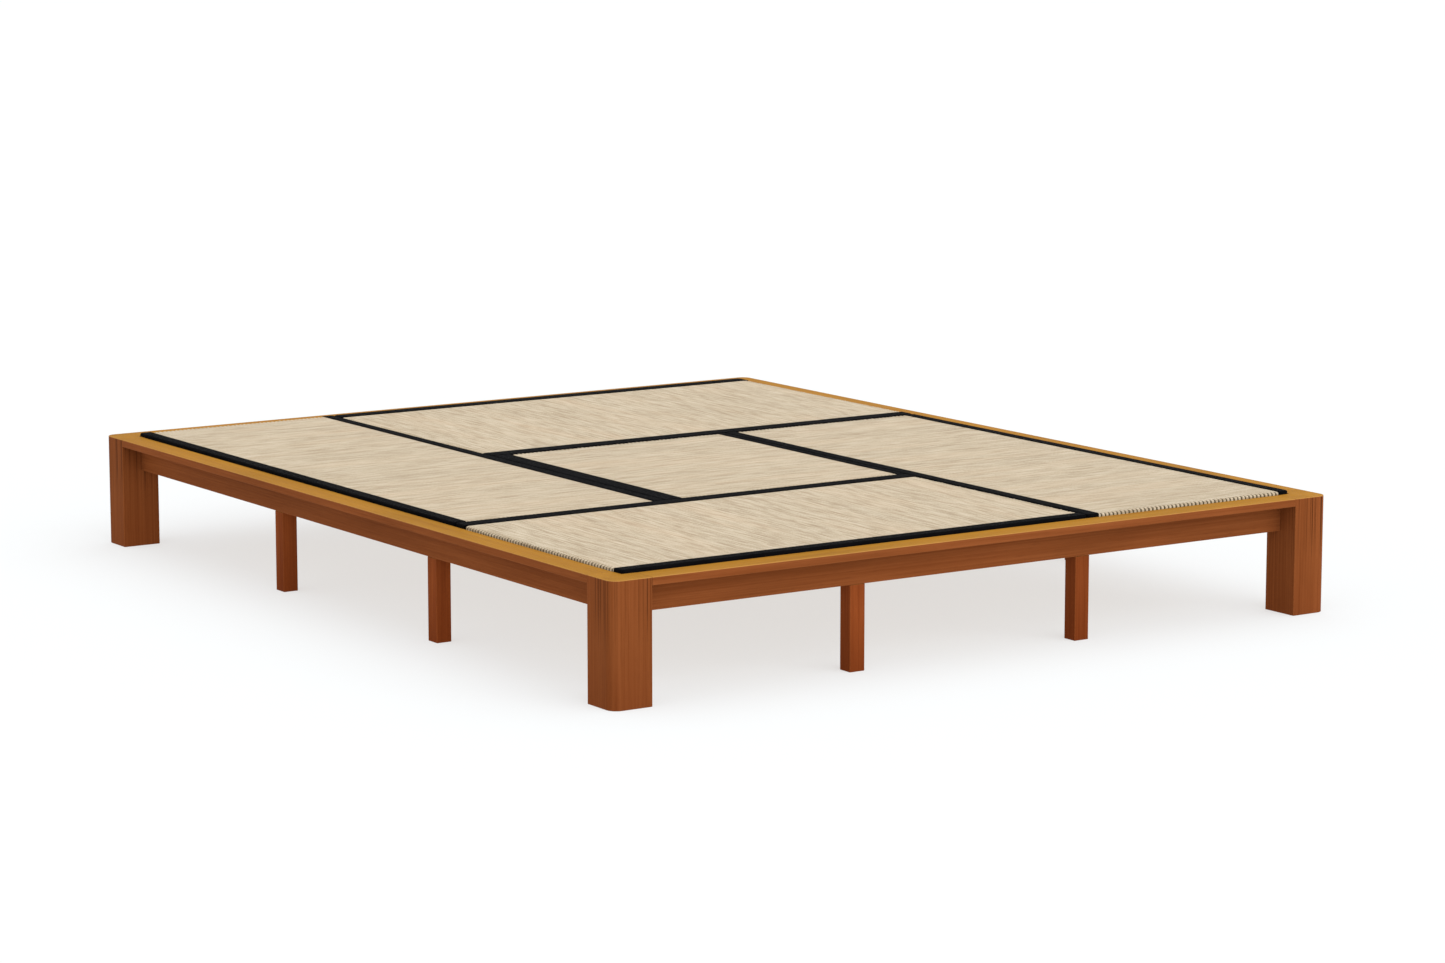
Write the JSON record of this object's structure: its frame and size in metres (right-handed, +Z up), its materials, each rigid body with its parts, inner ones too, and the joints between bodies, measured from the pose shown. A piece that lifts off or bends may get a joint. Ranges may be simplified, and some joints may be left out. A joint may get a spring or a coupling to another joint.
{
  "type": "platform bed frame",
  "caption": "Low wooden platform bed frame with thick corner posts, slim mid-legs, a slatted base and lift-out bordered tatami mats in a pinwheel.",
  "frame": {"origin": "on the floor, under the middle of the bed", "axes": "+X across the bed, +Y along the bed, +Z up; the front is the -Y end"},
  "size_m": [1.71, 2.11, 0.2473],
  "materials": {
    "stained_wood": "satin red-brown stain that looks golden on its top faces",
    "plain_softwood": "planed, unstained",
    "plated_steel": "zinc plated",
    "woven_rush": "matt woven rush over a fibre board",
    "border_cloth": "matt black ribbed cloth"
  },
  "bodies": {
    "frame": {"front_left_post": "stained_wood", "front_right_post": "stained_wood", "back_left_post": "stained_wood", "back_right_post": "stained_wood", "front_rim": "stained_wood", "back_rim": "stained_wood", "left_rim": "stained_wood", "right_rim": "stained_wood", "front_apron": "stained_wood", "back_apron": "stained_wood", "left_apron": "stained_wood", "right_apron": "stained_wood", "front_midleg_left": "stained_wood", "front_midleg_right": "stained_wood", "back_midleg_left": "stained_wood", "back_midleg_right": "stained_wood", "left_midleg_front": "stained_wood", "left_midleg_back": "stained_wood", "right_midleg_front": "stained_wood", "right_midleg_back": "stained_wood", "centre_leg": "stained_wood", "left_ledger": "plain_softwood", "right_ledger": "plain_softwood", "centre_beam": "plain_softwood", "front_beam_seat": "plain_softwood", "back_beam_seat": "plain_softwood", "slat_1": "plain_softwood", "slat_2": "plain_softwood", "slat_3": "plain_softwood", "slat_4": "plain_softwood", "slat_5": "plain_softwood", "slat_6": "plain_softwood", "slat_7": "plain_softwood", "slat_8": "plain_softwood", "slat_9": "plain_softwood", "front_left_corner_block": "plain_softwood", "front_right_corner_block": "plain_softwood", "back_left_corner_block": "plain_softwood", "back_right_corner_block": "plain_softwood", "front_left_corner_bolt": "plated_steel", "front_right_corner_bolt": "plated_steel", "back_left_corner_bolt": "plated_steel", "back_right_corner_bolt": "plated_steel"},
    "mat_left": {"mat_left": "woven_rush", "mat_left_border_low": "border_cloth", "mat_left_border_high": "border_cloth"},
    "mat_front": {"mat_front": "woven_rush", "mat_front_border_low": "border_cloth", "mat_front_border_high": "border_cloth"},
    "mat_right": {"mat_right": "woven_rush", "mat_right_border_low": "border_cloth", "mat_right_border_high": "border_cloth"},
    "mat_back": {"mat_back": "woven_rush", "mat_back_border_low": "border_cloth", "mat_back_border_high": "border_cloth"},
    "mat_centre": {"mat_centre": "woven_rush", "mat_centre_border_low": "border_cloth", "mat_centre_border_high": "border_cloth"}
  },
  "joints": [
    {"name": "mat_left_lift", "type": "slide", "parent": "frame", "child": "mat_left", "axis": [0, 0, 1], "range_m": [0, 0.3]},
    {"name": "mat_front_lift", "type": "slide", "parent": "frame", "child": "mat_front", "axis": [0, 0, 1], "range_m": [0, 0.3]},
    {"name": "mat_right_lift", "type": "slide", "parent": "frame", "child": "mat_right", "axis": [0, 0, 1], "range_m": [0, 0.3]},
    {"name": "mat_back_lift", "type": "slide", "parent": "frame", "child": "mat_back", "axis": [0, 0, 1], "range_m": [0, 0.3]},
    {"name": "mat_centre_lift", "type": "slide", "parent": "frame", "child": "mat_centre", "axis": [0, 0, 1], "range_m": [0, 0.3]}
  ]
}
